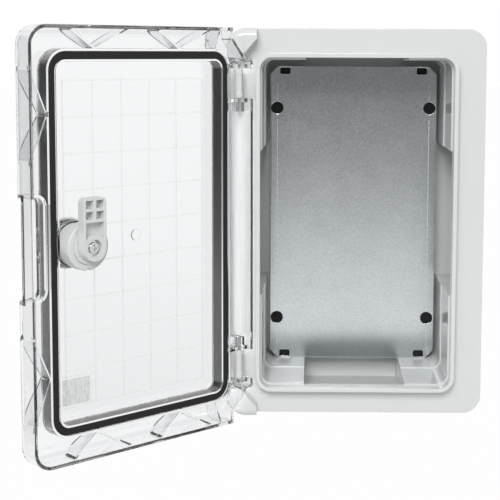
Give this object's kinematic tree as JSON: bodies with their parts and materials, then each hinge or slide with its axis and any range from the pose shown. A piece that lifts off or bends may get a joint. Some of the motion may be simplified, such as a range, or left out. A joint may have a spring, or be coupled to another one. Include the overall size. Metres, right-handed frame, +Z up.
{
  "type": "plastic electrical cabinet",
  "caption": "Grey plastic wall cabinet with a clear hinged door, gasket, quarter-turn cam lock and a galvanised mounting plate.",
  "frame": {"origin": "centre of the wall screw pattern, on the wall face", "axes": "front faces -Y, +X towards the door's free side when shut, +Z up"},
  "size_m": [0.3295, 0.2589, 0.3],
  "materials": {
    "body_abs": "smooth glossy light grey ABS",
    "galvanised_steel": "galvanised sheet with fine grain",
    "pin_steel": "bright zinc plated",
    "clear_door": "clear moulded polycarbonate",
    "gasket_foam": "matt black foam",
    "seal_rubber": "matt black rubber",
    "lock_grey": "smooth light grey plastic",
    "rotor_dark": "dark grey plastic",
    "brass": "turned brass"
  },
  "bodies": {
    "enclosure": {"enclosure_body": "body_abs", "mounting_plate": "galvanised_steel", "hinge_knuckle_upper": "body_abs", "hinge_knuckle_lower": "body_abs"},
    "door": {"door_cover": "clear_door", "door_gasket": "gasket_foam", "hinge_pin_upper": "pin_steel", "hinge_pin_lower": "pin_steel", "lock_housing": "lock_grey", "lock_seal": "seal_rubber", "lock_drum_nut": "lock_grey"},
    "lock_core": {"lock_rotor": "rotor_dark", "rotor_o_ring": "seal_rubber", "rotor_insert": "brass", "lock_cam": "lock_grey", "cam_washer": "pin_steel", "cam_screw": "pin_steel"}
  },
  "joints": [
    {"name": "door_hinge", "type": "hinge", "parent": "enclosure", "child": "door", "pos_m": [-0.0903, -0.119, 0], "axis": [0, 0, -1], "range_deg": [-136, 0]},
    {"name": "lock_turn", "type": "hinge", "parent": "door", "child": "lock_core", "pos_m": [-0.1872, -0.22926, 0], "axis": [0.6947, -0.7193, 0], "range_deg": [0, 90]}
  ]
}
